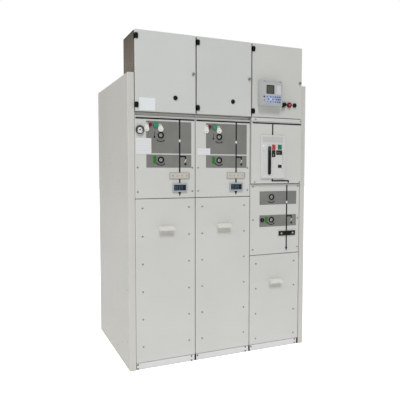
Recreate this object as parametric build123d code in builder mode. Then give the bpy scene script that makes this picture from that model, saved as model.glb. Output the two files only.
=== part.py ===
# Gas-insulated switchgear of three bays: two switch bays and a breaker bay, each with a control
# compartment on top. X runs along the front, Y to the rear, Z up; the origin is the middle of the
# footprint on the floor.
import os
from math import cos, radians, sin

from build123d import *

os.makedirs("parts", exist_ok=True)

# Driving sizes of the whole switchgear, in millimetres
bay_width = 420
bay_count = 3
end_thickness = 43
depth = 910
cabinet_height = 1926
control_rise = 266
plinth_height = 45

# Sheet metal
sheet = 2
cover_fold = 20
cover_bend = 4
cover_gap = 4
end_bend = 5
proud = 18
rear_inset = 4

# Heights of the covers on the front, stacked down from the top of the cabinet
control_drop = 245
strip_height = 29
mechanism_cover_height = 529
breaker_cover_height = 441
lower_cover_height = 514

# Control compartments and their doors
control_depth = 257
box_side_gap = 1
box_rim = 8
door_gap = 9
door_fold = 22
door_seal_gap = 6
door_foot_gap = 3

# Door hinges
hinge_width = 20
hinge_height = 33
hinge_inset = 2.5
hinge_ear = 6
hinge_proud = 7
hinge_play = 0.3
hinge_clearance = 1.5
hinge_from_end = 40
pin_from_edge = 7.5
pin_proud = 2.5
pin_radius = 3
pin_play = 0.05
pin_sides = 12
leaf_length = 34
leaf_thickness = 3

# Lever seats
collar_outer = 20
collar_inner = 16
collar_proud = 9
shaft_radius = 7
shaft_recess = 6
seat_x = 176
seat_play = 0.3
seat_sides = 18

# Diagram on the covers
line_width = 9
line_thickness = 2
field_thickness = 1
field_left = 78
field_right = 390
main_line_x = 307
earth_line_x = 348

# Places worked out from the sizes above
front = -depth / 2
rear = depth / 2
row_width = bay_count * bay_width
row_half = row_width / 2
bay_lefts = [bay * bay_width - row_half for bay in range(bay_count)]
breaker_left = bay_lefts[-1]
door_face = front - proud
door_back = door_face + door_fold
box_front = door_back + door_seal_gap
housing_front = front + cover_fold
housing_rear = rear - rear_inset - cover_fold
housing_top = cabinet_height - cover_fold - sheet
total_height = cabinet_height + control_rise
control_bottom = cabinet_height - control_drop
mechanism_cover_top = control_bottom - strip_height
cable_cover_top = mechanism_cover_top - mechanism_cover_height
lower_cover_top = mechanism_cover_top - breaker_cover_height
breaker_cable_cover_top = lower_cover_top - lower_cover_height


def front_plane(y):
    """A drawing plane parallel to the front, seen from the front: local X is X, local Y is Z."""
    return Plane(origin=(0, y, 0), x_dir=(1, 0, 0), z_dir=(0, -1, 0))


def side_plane(x):
    """A drawing plane seen from the right end: local X is Y, local Y is Z."""
    return Plane(origin=(x, 0, 0), x_dir=(0, 1, 0), z_dir=(1, 0, 0))


def save(part, name):
    """Label a finished piece and write its STEP file."""
    part.label = name
    export_step(part, f"parts/{name}.step")


def rectangle(left, right, bottom, top, mode=Mode.ADD):
    """A rectangle given by its edges, in the sketch that is being drawn."""
    with Locations(((left + right) / 2, (bottom + top) / 2)):
        Rectangle(right - left, top - bottom, mode=mode)


def folded_pan(left, right, bottom, top, face_y, fold):
    """A sheet cover: a flat face with its four edges folded back to the housing."""
    with BuildPart() as pan:
        with BuildSketch(front_plane(face_y)):
            rectangle(left, right, bottom, top)
        extrude(amount=-fold)
        offset(amount=-sheet, openings=pan.faces().sort_by(Axis.Y)[-1])
        fillet(pan.faces().sort_by(Axis.Y)[0].edges(), cover_bend)
    return pan.part


# Base frame: channel rails round the foot, with a bolt flange inside and a front strip in each bay
rail_wall = 4
flange_width = 60
bolt_radius = 7
bolt_from_side = 35
bolt_from_front = 40
strip_foot_gap = 3
base_front = front + cover_fold
base_rear = rear - cover_fold
base_middle = (base_front + base_rear) / 2
bolt_spacing_x = row_width - 2 * bolt_from_side
bolt_spacing_y = base_rear - base_front - 2 * bolt_from_front

with BuildPart() as base_frame:
    with BuildSketch(Plane.XY):
        with Locations((0, base_middle)):
            Rectangle(row_width, base_rear - base_front)
            Rectangle(row_width - 2 * rail_wall, base_rear - base_front - 2 * rail_wall,
                      mode=Mode.SUBTRACT)
    extrude(amount=plinth_height)
    with BuildSketch(Plane.XY):
        with Locations((0, base_middle)):
            Rectangle(row_width, base_rear - base_front)
            Rectangle(row_width - 2 * flange_width, base_rear - base_front - 2 * flange_width,
                      mode=Mode.SUBTRACT)
            with GridLocations(bolt_spacing_x, bolt_spacing_y, 2, 2):
                Circle(bolt_radius, mode=Mode.SUBTRACT)
    extrude(amount=rail_wall)
    for bay_left in bay_lefts:
        with BuildSketch(front_plane(base_front)):
            rectangle(bay_left + door_gap / 2, bay_left + bay_width - door_gap / 2,
                      strip_foot_gap, plinth_height)
        extrude(amount=cover_fold)
save(base_frame.part, "base_frame")

# Bay housings: the closed gas tank and cable compartment of each bay, stepped for the control box
housing_gap = 1
for number, bay_left in enumerate(bay_lefts, start=1):
    with BuildPart() as housing:
        with BuildSketch(side_plane(bay_left + housing_gap / 2)):
            with BuildLine():
                Polyline((housing_front, plinth_height), (housing_rear, plinth_height),
                         (housing_rear, housing_top), (front + control_depth, housing_top),
                         (front + control_depth, control_bottom), (housing_front, control_bottom),
                         close=True)
            make_face()
        extrude(amount=bay_width - housing_gap)
    save(housing.part, f"bay_housing_{number}")

# End panels: deep folded trays that close the row at both ends
end_corner_cut = 10
for side, name in ((-1, "left_end_panel"), (1, "right_end_panel")):
    inner_x = side * row_half
    with BuildPart() as end_panel:
        with BuildSketch(side_plane(inner_x)):
            with BuildLine():
                Polyline((front, 0), (rear, 0), (rear, cabinet_height - end_corner_cut),
                         (rear - end_corner_cut, cabinet_height), (front, cabinet_height),
                         close=True)
            make_face()
        extrude(amount=side * end_thickness)
        outer_face = end_panel.faces().filter_by(Axis.X).sort_by(Axis.X)[-1 if side > 0 else 0]
        fillet(outer_face.edges(), end_bend)
        inner_face = end_panel.faces().filter_by(Axis.X).sort_by(Axis.X)[0 if side > 0 else -1]
        offset(amount=-sheet, openings=inner_face)
    save(end_panel.part, name)

# Roof covers: shallow folded lids behind the control boxes, one for each bay
roof_clearance = 3
with BuildPart() as roof_covers:
    roof_front = front + control_depth + roof_clearance
    roof_rear = rear - rear_inset
    with BuildSketch(Plane.XY.offset(housing_top)):
        for bay_left in bay_lefts:
            with Locations((bay_left + bay_width / 2, (roof_front + roof_rear) / 2)):
                Rectangle(bay_width - cover_gap, roof_rear - roof_front)
    extrude(amount=cover_fold)
    offset(amount=-sheet, openings=roof_covers.faces().filter_by(Axis.Z).group_by(Axis.Z)[0])
save(roof_covers.part, "roof_covers")

# Rear panels: folded sheets over the back of each bay
with BuildPart() as rear_panels:
    with BuildSketch(front_plane(housing_rear)):
        for bay_left in bay_lefts:
            rectangle(bay_left + cover_gap / 2, bay_left + bay_width - cover_gap / 2,
                      plinth_height, housing_top - cover_gap)
    extrude(amount=-cover_fold)
    offset(amount=-sheet, openings=rear_panels.faces().filter_by(Axis.Y).group_by(Axis.Y)[0])
save(rear_panels.part, "rear_panels")

# Control boxes: open-fronted sheet boxes with a rim turned in behind the door
box_top = total_height - sheet
for number, bay_left in enumerate(bay_lefts, start=1):
    box_left = bay_left + box_side_gap / 2
    box_right = bay_left + bay_width - box_side_gap / 2
    with BuildPart() as control_box:
        with BuildSketch(front_plane(box_front)):
            rectangle(box_left, box_right, control_bottom, box_top)
        extrude(amount=box_front - front - control_depth)
        offset(amount=-sheet, openings=control_box.faces().sort_by(Axis.Y)[0])
        with BuildSketch(front_plane(box_front)):
            rectangle(box_left, box_right, control_bottom, box_top)
            rectangle(box_left + box_rim, box_right - box_rim, control_bottom + box_rim,
                      box_top - box_rim, mode=Mode.SUBTRACT)
        extrude(amount=-sheet)
    save(control_box.part, f"control_box_{number}")

# Door fittings: places and sizes of the locks, plugs, relay and push buttons on the doors
lock_from_right = 22
lock_drop = 251
lock_radius = 11
lock_proud = 5
lock_body = 16
lock_body_length = 22
lock_nut = 22
nut_length = 8
button_rise = 98
button_pitch = 47
plug_x = 272
selector_x = 258
bezel_radius = 14.5
red_button_radius = 18
neck_radius = 11
neck_sides = 8
nut_radius = 14
fitting_play = 0.3
lock_z = total_height - lock_drop
button_z = control_bottom + button_rise
button_places = [[plug_x]] * (bay_count - 1)
button_places.append([selector_x + step * button_pitch for step in range(3)])

# Relay: its front stands on the right door, and its case passes through
relay_x = 46
relay_rise = 78
relay_width = 178
relay_height = 177
relay_rim = 12
relay_left = breaker_left + relay_x
relay_bottom = control_bottom + relay_rise
relay_right = relay_left + relay_width
relay_top = relay_bottom + relay_height

# Control doors: folded pans on the left hinges, notched for the hinges and cut for their fittings
hinge_heights = [control_bottom + door_foot_gap + hinge_from_end,
                 total_height - hinge_from_end]
hinge_cut = hinge_width + hinge_inset + hinge_clearance
for number, (bay_left, places) in enumerate(zip(bay_lefts, button_places), start=1):
    door_left = bay_left + door_gap / 2
    door_right = bay_left + bay_width - door_gap / 2
    with BuildPart() as control_door:
        add(folded_pan(door_left, door_right, control_bottom + door_foot_gap, total_height,
                       door_face, door_fold))
        with BuildSketch(front_plane(door_face)):
            for hinge_z in hinge_heights:
                rectangle(bay_left, bay_left + hinge_cut,
                          hinge_z - hinge_height / 2 - hinge_clearance,
                          hinge_z + hinge_height / 2 + hinge_clearance)
        extrude(amount=-door_fold, mode=Mode.SUBTRACT)
        with BuildSketch(front_plane(door_face)):
            with Locations((bay_left + bay_width - lock_from_right, lock_z)):
                Rectangle(lock_body + 2 * fitting_play, lock_body + 2 * fitting_play)
            with Locations(*[(bay_left + place, button_z) for place in places]):
                RegularPolygon(neck_radius + fitting_play, neck_sides)
            if number == bay_count:
                rectangle(relay_left + relay_rim, relay_right - relay_rim,
                          relay_bottom + relay_rim, relay_top - relay_rim)
        extrude(amount=-sheet, mode=Mode.SUBTRACT)
    save(control_door.part, f"control_door_{number}")

# Hinge brackets: two ears and a foot on the box rim at each hinge, which hold the pin
pin_y = door_face - pin_proud
hinge_front = door_face - hinge_proud
ear_width = 15
bracket_width = 18
knuckle_half = hinge_height / 2 - hinge_ear - hinge_play
with BuildPart() as hinge_brackets:
    for bay_left in bay_lefts:
        for hinge_z in hinge_heights:
            bracket_left = bay_left + hinge_inset
            with BuildSketch(front_plane(box_front)):
                rectangle(bracket_left, bracket_left + bracket_width,
                          hinge_z - hinge_height / 2, hinge_z + hinge_height / 2)
            extrude(amount=leaf_thickness)
            for side in (-1, 1):
                ear_middle = hinge_z + side * (hinge_height - hinge_ear) / 2
                with BuildSketch(front_plane(box_front)):
                    rectangle(bracket_left, bracket_left + ear_width,
                              ear_middle - hinge_ear / 2, ear_middle + hinge_ear / 2)
                extrude(amount=box_front - hinge_front)
            with BuildSketch(Plane.XY.offset(hinge_z - hinge_height / 2 + hinge_ear / 2)):
                with Locations((bracket_left + pin_from_edge, pin_y)):
                    RegularPolygon(pin_radius, pin_sides)
            extrude(amount=hinge_height - hinge_ear)
save(hinge_brackets.part, "hinge_brackets")

# Hinge leaves: a knuckle on each pin with a leaf screwed behind the door's face
knuckle_radius = 7
for number, bay_left in enumerate(bay_lefts, start=1):
    pin_x = bay_left + hinge_inset + pin_from_edge
    with BuildPart() as hinge_leaves:
        for hinge_z in hinge_heights:
            with BuildSketch(Plane.XY.offset(hinge_z - knuckle_half)):
                with Locations((pin_x, pin_y)):
                    Circle(knuckle_radius)
                with Locations((pin_x, door_face + sheet + leaf_thickness / 2)):
                    Rectangle(leaf_length, leaf_thickness, align=(Align.MIN, Align.CENTER))
                with Locations((pin_x, hinge_front)):
                    Rectangle(hinge_width - pin_from_edge,
                              door_face + sheet + leaf_thickness - hinge_front,
                              align=(Align.MIN, Align.MIN))
                with Locations((pin_x, pin_y)):
                    RegularPolygon(pin_radius + pin_play, pin_sides, major_radius=False,
                                   mode=Mode.SUBTRACT)
            extrude(amount=2 * knuckle_half)
    save(hinge_leaves.part, f"hinge_leaves_{number}")


# Contact blocks behind the push buttons and the selector
block_width = 30
block_height = 40
block_length = 24


def neck_and_nut(x, z):
    """The neck of a round fitting, through the door, with its hexagonal nut behind the sheet."""
    with BuildPart() as neck:
        with BuildSketch(front_plane(door_face)):
            with Locations((x, z)):
                RegularPolygon(neck_radius, neck_sides)
        extrude(amount=-sheet)
        with BuildSketch(front_plane(door_face + sheet)):
            with Locations((x, z)):
                RegularPolygon(nut_radius, 6)
        extrude(amount=-nut_length)
    return neck.part


def contact_block(x, z):
    """The contact block behind the nut of a push button or switch."""
    with BuildPart() as block:
        with BuildSketch(front_plane(door_face + sheet + nut_length)):
            with Locations((x, z)):
                Rectangle(block_width, block_height)
        extrude(amount=-block_length)
    return block.part


# Door locks, plugs and push buttons: quarter-turn locks with a wing and a cam, a blanking plug on
# the switch bays, and a red and a black push button beside the selector of the breaker bay
wing_length = 17
wing_width = 4
wing_proud = 4
wing_angle = 30
stem = 8
stem_length = 8
cam_length = 34
cam_width = 10
cam_thickness = 3
plug_proud = 4
red_button_proud = 12
black_button_proud = 8
for number, (bay_left, places) in enumerate(zip(bay_lefts, button_places), start=1):
    lock_centre = bay_left + bay_width - lock_from_right
    cam_plane_y = door_face + lock_body_length + stem_length
    heads = [(place, bezel_radius, plug_proud) for place in places]
    if number == bay_count:
        heads = [(places[1], red_button_radius, red_button_proud),
                 (places[2], bezel_radius, black_button_proud)]
    with BuildPart() as door_fittings:
        with BuildSketch(front_plane(door_face)):
            with Locations((lock_centre, lock_z)):
                Circle(lock_radius)
        extrude(amount=lock_proud)
        wing_plane = Plane(origin=(lock_centre, door_face - lock_proud, lock_z),
                           x_dir=(cos(radians(wing_angle)), 0, sin(radians(wing_angle))),
                           z_dir=(0, -1, 0))
        with BuildSketch(wing_plane):
            Rectangle(wing_length, wing_width)
        extrude(amount=wing_proud)
        with BuildSketch(front_plane(door_face)):
            with Locations((lock_centre, lock_z)):
                Rectangle(lock_body, lock_body)
        extrude(amount=-lock_body_length)
        with BuildSketch(front_plane(door_face + sheet)):
            with Locations((lock_centre, lock_z)):
                Rectangle(lock_nut, lock_nut)
        extrude(amount=-nut_length)
        with BuildSketch(front_plane(door_face + lock_body_length)):
            with Locations((lock_centre, lock_z)):
                Rectangle(stem, stem)
        extrude(amount=-stem_length)
        with BuildSketch(front_plane(cam_plane_y)):
            with Locations((lock_centre, lock_z - (cam_length - cam_width) / 2)):
                Rectangle(cam_width, cam_length)
        extrude(amount=-cam_thickness)
        for place, radius, reach in heads:
            with BuildSketch(front_plane(door_face)):
                with Locations((bay_left + place, button_z)):
                    Circle(radius)
            extrude(amount=reach)
            add(neck_and_nut(bay_left + place, button_z))
            if number == bay_count:
                add(contact_block(bay_left + place, button_z))
    save(door_fittings.part, f"door_fittings_{number}")

# Protection relay: a moulded front with a screen, a lamp strip and a keypad, its case behind it
relay_proud = 42
relay_corner = 6
relay_recess = 3
relay_case_depth = 150
screen_from_left = 46
screen_width = 64
screen_from_bottom = 84
screen_height = 61
lamp_strip_gap = 10
lamp_strip_width = 44
keypad_from_left = 40
keypad_width = 128
keypad_from_bottom = 19
keypad_height = 54
keypad_proud = 2
relay_face = door_face - relay_proud
screen_left = relay_left + screen_from_left
screen_bottom = relay_bottom + screen_from_bottom
screen_top = screen_bottom + screen_height
lamp_strip_left = screen_left + screen_width + lamp_strip_gap
keypad_left = relay_left + keypad_from_left
keypad_bottom = relay_bottom + keypad_from_bottom
with BuildPart() as relay:
    with BuildSketch(front_plane(door_face)):
        rectangle(relay_left, relay_right, relay_bottom, relay_top)
    extrude(amount=relay_proud)
    fillet(relay.edges().filter_by(Axis.Y), relay_corner)
    chamfer(relay.faces().sort_by(Axis.Y)[0].edges(), relay_recess)
    with BuildSketch(front_plane(relay_face)):
        rectangle(screen_left, screen_left + screen_width, screen_bottom, screen_top)
        rectangle(lamp_strip_left, lamp_strip_left + lamp_strip_width, screen_bottom, screen_top)
    extrude(amount=-relay_recess, mode=Mode.SUBTRACT)
    with BuildSketch(front_plane(relay_face)):
        rectangle(keypad_left, keypad_left + keypad_width, keypad_bottom,
                  keypad_bottom + keypad_height)
    extrude(amount=keypad_proud)
    with BuildSketch(front_plane(door_face)):
        rectangle(relay_left + relay_rim + fitting_play, relay_right - relay_rim - fitting_play,
                  relay_bottom + relay_rim + fitting_play, relay_top - relay_rim - fitting_play)
    extrude(amount=-relay_case_depth)
save(relay.part, "relay")

# Selector ring: the fixed bezel of the selector switch, bored for its shaft, with a contact block
ring_proud = 6
shaft_bore = 6
shaft_depth = 16
knob_gap = 0.3
selector_centre = breaker_left + selector_x
with BuildPart() as selector_ring:
    with BuildSketch(front_plane(door_face)):
        with Locations((selector_centre, button_z)):
            Circle(bezel_radius)
    extrude(amount=ring_proud)
    add(neck_and_nut(selector_centre, button_z))
    add(contact_block(selector_centre, button_z))
    with BuildSketch(front_plane(door_face - ring_proud)):
        with Locations((selector_centre, button_z)):
            Circle(shaft_bore)
    extrude(amount=-ring_proud - shaft_depth - knob_gap, mode=Mode.SUBTRACT)
save(selector_ring.part, "selector_ring")

# Selector knob: a round hub with a long pointer, on a square shaft that turns in the bore
knob_radius = 13
knob_reach = 24
shaft_side = 8
pointer_length = 28
pointer_width = 14
pointer_tip = 9
pointer_thickness = 12
pointer_angle = 222
with BuildPart() as selector_knob:
    with BuildSketch(front_plane(door_face - ring_proud - knob_gap)):
        with Locations((selector_centre, button_z)):
            Circle(knob_radius)
    extrude(amount=knob_reach - ring_proud - knob_gap)
    with BuildSketch(front_plane(door_face - ring_proud - knob_gap)):
        with Locations((selector_centre, button_z)):
            Rectangle(shaft_side, shaft_side)
    extrude(amount=-ring_proud - knob_gap - shaft_depth)
    pointer_plane = Plane(origin=(selector_centre, door_face - knob_reach, button_z),
                          x_dir=(cos(radians(pointer_angle)), 0, sin(radians(pointer_angle))),
                          z_dir=(0, -1, 0))
    with BuildSketch(pointer_plane):
        Polygon((0, -pointer_width / 2), (pointer_length, -pointer_tip / 2),
                (pointer_length, pointer_tip / 2), (0, pointer_width / 2), align=None)
    extrude(amount=-pointer_thickness)
save(selector_knob.part, "selector_knob")

# Lever seats: two to a bay, given by their drops below the top edge of the cover they stand in
seat_drops = (115, 274)
lower_seat_drops = (94, 259)
seats = [[(bay_left + seat_x, mechanism_cover_top - drop) for drop in seat_drops]
         for bay_left in bay_lefts[:-1]]
seats.append([(breaker_left + seat_x, lower_cover_top - drop) for drop in lower_seat_drops])
all_seats = [centre for centres in seats for centre in centres]
with BuildPart() as lever_seats:
    with BuildSketch(front_plane(housing_front)):
        with Locations(*all_seats):
            RegularPolygon(collar_outer, seat_sides)
            RegularPolygon(collar_inner, seat_sides, major_radius=False, mode=Mode.SUBTRACT)
    extrude(amount=cover_fold + collar_proud)
save(lever_seats.part, "lever_seats")

# Drive shafts: the hexagonal shaft ends of the mechanisms, set back inside the lever seats
with BuildPart() as drive_shafts:
    with BuildSketch(front_plane(housing_front)):
        with Locations(*all_seats):
            RegularPolygon(shaft_radius, 6)
    extrude(amount=cover_fold - shaft_recess)
save(drive_shafts.part, "drive_shafts")


def seat_holes(cover_part, centres):
    """Holes in a sheet cover that pass its lever seats."""
    with BuildPart() as cover:
        add(cover_part)
        with BuildSketch(front_plane(front)):
            with Locations(*centres):
                RegularPolygon(collar_outer + seat_play, seat_sides, major_radius=False)
        extrude(amount=-sheet, mode=Mode.SUBTRACT)
    return cover.part


# Mechanism covers of the switch bays, and the flush lower cover of the breaker bay
mechanism_cover_bottom = cable_cover_top + cover_gap
for number, bay_left in enumerate(bay_lefts[:-1], start=1):
    mechanism_cover = folded_pan(bay_left + cover_gap / 2, bay_left + bay_width - cover_gap / 2,
                                 mechanism_cover_bottom, mechanism_cover_top, front, cover_fold)
    save(seat_holes(mechanism_cover, seats[number - 1]), f"mechanism_cover_{number}")

lower_cover = folded_pan(breaker_left + cover_gap / 2, breaker_left + bay_width - cover_gap / 2,
                         breaker_cable_cover_top + cover_gap, lower_cover_top, front, cover_fold)
save(seat_holes(lower_cover, seats[-1]), "lower_cover")

# Breaker cover: it stands proud of the front, level with the doors
breaker_cover = folded_pan(breaker_left + cover_gap / 2, breaker_left + bay_width - cover_gap / 2,
                           lower_cover_top + cover_gap, mechanism_cover_top, door_face,
                           cover_fold + proud)
save(breaker_cover, "breaker_cover")

# Cable covers: tall plain pans screwed over the cable compartments
cable_cover_bottom = plinth_height + cover_gap / 2
cable_cover_tops = [cable_cover_top] * (bay_count - 1) + [breaker_cable_cover_top]
for number, (bay_left, cover_top) in enumerate(zip(bay_lefts, cable_cover_tops), start=1):
    cable_cover = folded_pan(bay_left + cover_gap / 2, bay_left + bay_width - cover_gap / 2,
                             cable_cover_bottom, cover_top, front, cover_fold)
    save(cable_cover, f"cable_cover_{number}")

# Cover grips: hooded pulls on the cable covers, open below for the fingers
grip_width = 101
grip_height = 47
grip_reach = 34
grip_wall = 3
hood_height = 27
hood_slope = 8
grip_from_top = 204
with BuildPart() as cover_grips:
    for bay_left, cover_top in zip(bay_lefts, cable_cover_tops):
        grip_left = bay_left + (bay_width - grip_width) / 2
        grip_top = cover_top - grip_from_top + grip_height / 2
        hood_bottom = grip_top - hood_height
        hood_front = front - grip_reach
        plate_front = front - grip_wall
        with BuildSketch(front_plane(front)):
            rectangle(grip_left, grip_left + grip_width, grip_top - grip_height, grip_top)
        extrude(amount=grip_wall)
        with BuildSketch(side_plane(grip_left)):
            Polygon((front, grip_top), (hood_front, grip_top - hood_slope),
                    (hood_front, hood_bottom), (front, hood_bottom), align=None)
        extrude(amount=grip_width)
        with BuildSketch(side_plane(grip_left + grip_wall)):
            Polygon((plate_front, grip_top - grip_wall),
                    (hood_front + grip_wall, grip_top - grip_wall - hood_slope),
                    (hood_front + grip_wall, hood_bottom), (plate_front, hood_bottom), align=None)
        extrude(amount=grip_width - 2 * grip_wall, mode=Mode.SUBTRACT)
save(cover_grips.part, "cover_grips")

# Strips between the mechanism covers and the doors: set back on the switch bays, proud on the last
strip_gap = 1
strip_recess = 16
strip_ledge = 6
strip_top = control_bottom - strip_gap
strip_bottom = mechanism_cover_top + strip_gap
with BuildPart() as cover_strips:
    for bay_left in bay_lefts[:-1]:
        with BuildSketch(side_plane(bay_left + cover_gap / 2)):
            with BuildLine():
                Polyline((housing_front, strip_bottom), (front, strip_bottom),
                         (front, strip_bottom + strip_ledge),
                         (front + strip_recess, strip_bottom + strip_ledge),
                         (front + strip_recess, strip_top), (housing_front, strip_top), close=True)
            make_face()
        extrude(amount=bay_width - cover_gap)
    add(folded_pan(breaker_left + cover_gap / 2, breaker_left + bay_width - cover_gap / 2,
                   strip_bottom, strip_top, door_face, cover_fold + proud))
save(cover_strips.part, "cover_strips")

# Voltage test strips: four sockets below each switch diagram, and a strip on the breaker bay
socket_radius = 4
socket_sides = 8
socket_depth = 3
socket_pitch = 32
socket_proud = 6
strip_length = 140
strip_width = 40
strip_x = 305
strip_drop = 398
breaker_strip_width = 33
breaker_strip_x = 310
breaker_strip_drop = 379
strip_z = mechanism_cover_top - strip_drop + strip_width / 2
breaker_strip_z = lower_cover_top - breaker_strip_drop + breaker_strip_width / 2
strips = [(bay_left + strip_x, strip_z, strip_width) for bay_left in bay_lefts[:-1]]
strips.append((breaker_left + breaker_strip_x, breaker_strip_z, breaker_strip_width))
with BuildPart() as voltage_sockets:
    for middle_x, middle_z, width in strips:
        with BuildSketch(front_plane(front)):
            with Locations((middle_x, middle_z)):
                Rectangle(strip_length, width)
        extrude(amount=socket_proud)
    for middle_x, middle_z, width in strips:
        with BuildSketch(front_plane(front - socket_proud)):
            with Locations((middle_x, middle_z)):
                with GridLocations(socket_pitch, 0, 4, 1):
                    RegularPolygon(socket_radius, socket_sides)
        extrude(amount=-socket_depth, mode=Mode.SUBTRACT)
save(voltage_sockets.part, "voltage_sockets")

# Front instruments: the pressure gauge of the gas tank on the first bay, and the voltage displays
gauge_x = 35
gauge_drop = 84
gauge_radius = 27
gauge_proud = 15
gauge_rim = 4
gauge_dial_depth = 5
display_left = 255
display_width = 103
display_height = 56
display_gap = 31
display_frame = 9
display_proud = 9
display_recess = 2
gauge_centre = (bay_lefts[0] + gauge_x, mechanism_cover_top - gauge_drop)
display_top = strip_z - strip_width / 2 - display_gap
display_bottom = display_top - display_height
with BuildPart() as front_instruments:
    with BuildSketch(front_plane(front)):
        with Locations(gauge_centre):
            Circle(gauge_radius)
    extrude(amount=gauge_proud)
    with BuildSketch(front_plane(front - gauge_proud)):
        with Locations(gauge_centre):
            Circle(gauge_radius - gauge_rim)
    extrude(amount=-gauge_dial_depth, mode=Mode.SUBTRACT)
    for bay_left in bay_lefts[:-1]:
        left = bay_left + display_left
        with BuildSketch(front_plane(front)):
            rectangle(left, left + display_width, display_bottom, display_top)
        extrude(amount=display_proud)
        with BuildSketch(front_plane(front - display_proud)):
            rectangle(left + display_frame, left + display_width - display_frame,
                      display_bottom + display_frame, display_top - display_frame)
        extrude(amount=-display_recess, mode=Mode.SUBTRACT)
save(front_instruments.part, "front_instruments")

# Breaker front plate: a moulded plate with a track for the charging lever and pockets for buttons
plate_x = 71
plate_width = 199
plate_height = 307
plate_drop = 400
plate_proud = 12
plate_corner = 8
plate_chamfer = 2
pocket_depth = 8
pocket_play = 0.5
track_x = 138
track_width = 22
track_length = 202
track_drop = 272
plate_left = breaker_left + plate_x
plate_bottom = mechanism_cover_top - plate_drop
plate_top = plate_bottom + plate_height
plate_face = door_face - plate_proud
pocket_floor = plate_face + pocket_depth
track_centre = (breaker_left + track_x, mechanism_cover_top - track_drop)

# Left, right, bottom and top of the breaker's buttons and windows, from the bay's left edge and
# down from the breaker cover's top edge
breaker_buttons = [(161, 186, -196, -160), (208, 239, -193, -160)]
breaker_windows = [(160, 186, -246, -202), (196, 242, -230, -202), (212, 239, -323, -305)]
with BuildPart() as breaker_plate:
    with BuildSketch(front_plane(door_face)):
        rectangle(plate_left, plate_left + plate_width, plate_bottom, plate_top)
    extrude(amount=plate_proud)
    fillet(breaker_plate.edges().filter_by(Axis.Y), plate_corner)
    chamfer(breaker_plate.faces().sort_by(Axis.Y)[0].edges(), plate_chamfer)
    with BuildSketch(front_plane(plate_face)):
        with Locations(track_centre):
            SlotOverall(track_length, track_width, rotation=90)
        for left, right, bottom, top in (*breaker_buttons, *breaker_windows):
            rectangle(breaker_left + left - pocket_play, breaker_left + right + pocket_play,
                      mechanism_cover_top + bottom - pocket_play,
                      mechanism_cover_top + top + pocket_play)
    extrude(amount=-pocket_depth, mode=Mode.SUBTRACT)
save(breaker_plate.part, "breaker_plate")

# Charging lever: folded into its track, with its grip standing out of the plate
lever_proud = 8
with BuildPart() as charging_lever:
    with BuildSketch(front_plane(pocket_floor)):
        with Locations(track_centre):
            SlotOverall(track_length - 2 * pocket_play, track_width - 2 * pocket_play, rotation=90)
    extrude(amount=pocket_depth + lever_proud)
save(charging_lever.part, "charging_lever")

# Position indicators: oblong windows beside the lower lever seats, and the breaker's windows
indicator_x = 134
indicator_width = 16
indicator_height = 45
indicator_proud = 4
window_recess = 1
indicators = [(bay_left + indicator_x, seats[0][1][1]) for bay_left in bay_lefts[:-1]]
indicators.append((breaker_left + indicator_x, seats[-1][1][1]))
with BuildPart() as position_indicators:
    with BuildSketch(front_plane(front - field_thickness)):
        with Locations(*indicators):
            SlotOverall(indicator_height, indicator_width, rotation=90)
    extrude(amount=indicator_proud - field_thickness)
    with BuildSketch(front_plane(pocket_floor)):
        for left, right, bottom, top in breaker_windows:
            rectangle(breaker_left + left, breaker_left + right,
                      mechanism_cover_top + bottom, mechanism_cover_top + top)
    extrude(amount=pocket_depth - window_recess)
save(position_indicators.part, "position_indicators")

# Front controls: the round push buttons of the switch bays, the breaker's two push buttons and
# the key lock beside the lower lever seat of the breaker bay
button_proud = 10
button_sides = 24
breaker_button_proud = 5
key_lock_x = 99
key_lock_radius = 13.5
key_lock_proud = 11
push_buttons = [(104, 49, 11), (142, 50, 17)]
with BuildPart() as front_controls:
    for bay_left in bay_lefts[:-1]:
        for place_x, drop, radius in push_buttons:
            with BuildSketch(front_plane(front - field_thickness)):
                with Locations((bay_left + place_x, mechanism_cover_top - drop)):
                    RegularPolygon(radius, button_sides)
            extrude(amount=button_proud - field_thickness)
    for left, right, bottom, top in breaker_buttons:
        with BuildSketch(front_plane(pocket_floor)):
            rectangle(breaker_left + left, breaker_left + right,
                      mechanism_cover_top + bottom, mechanism_cover_top + top)
        extrude(amount=pocket_depth + breaker_button_proud)
    with BuildSketch(front_plane(front - field_thickness)):
        with Locations((breaker_left + key_lock_x, seats[-1][1][1])):
            RegularPolygon(key_lock_radius, button_sides)
    extrude(amount=key_lock_proud - field_thickness)
save(front_controls.part, "front_controls")

# Button flaps: drop-shaped lock plates that swing over the push buttons
flap_thickness = 3
flap_sides = 16
flap_shapes = [((80, 76, 17), (84, 46, 8)), ((176, 75, 18), (170, 50, 8))]
with BuildPart() as button_flaps:
    for bay_left in bay_lefts[:-1]:
        for flap_shape in flap_shapes:
            with BuildSketch(front_plane(front - field_thickness)):
                for place_x, drop, radius in flap_shape:
                    with Locations((bay_left + place_x, mechanism_cover_top - drop)):
                        RegularPolygon(radius, flap_sides)
                make_hull()
            extrude(amount=flap_thickness)
save(button_flaps.part, "button_flaps")


def upright_line(x, bottom, top):
    """One upright stretch of the diagram."""
    rectangle(x - line_width / 2, x + line_width / 2, bottom, top)


def level_line(left, right, z):
    """One level stretch of the diagram, square-ended past both given points."""
    rectangle(left - line_width / 2, right + line_width / 2, z - line_width / 2, z + line_width / 2)


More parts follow.
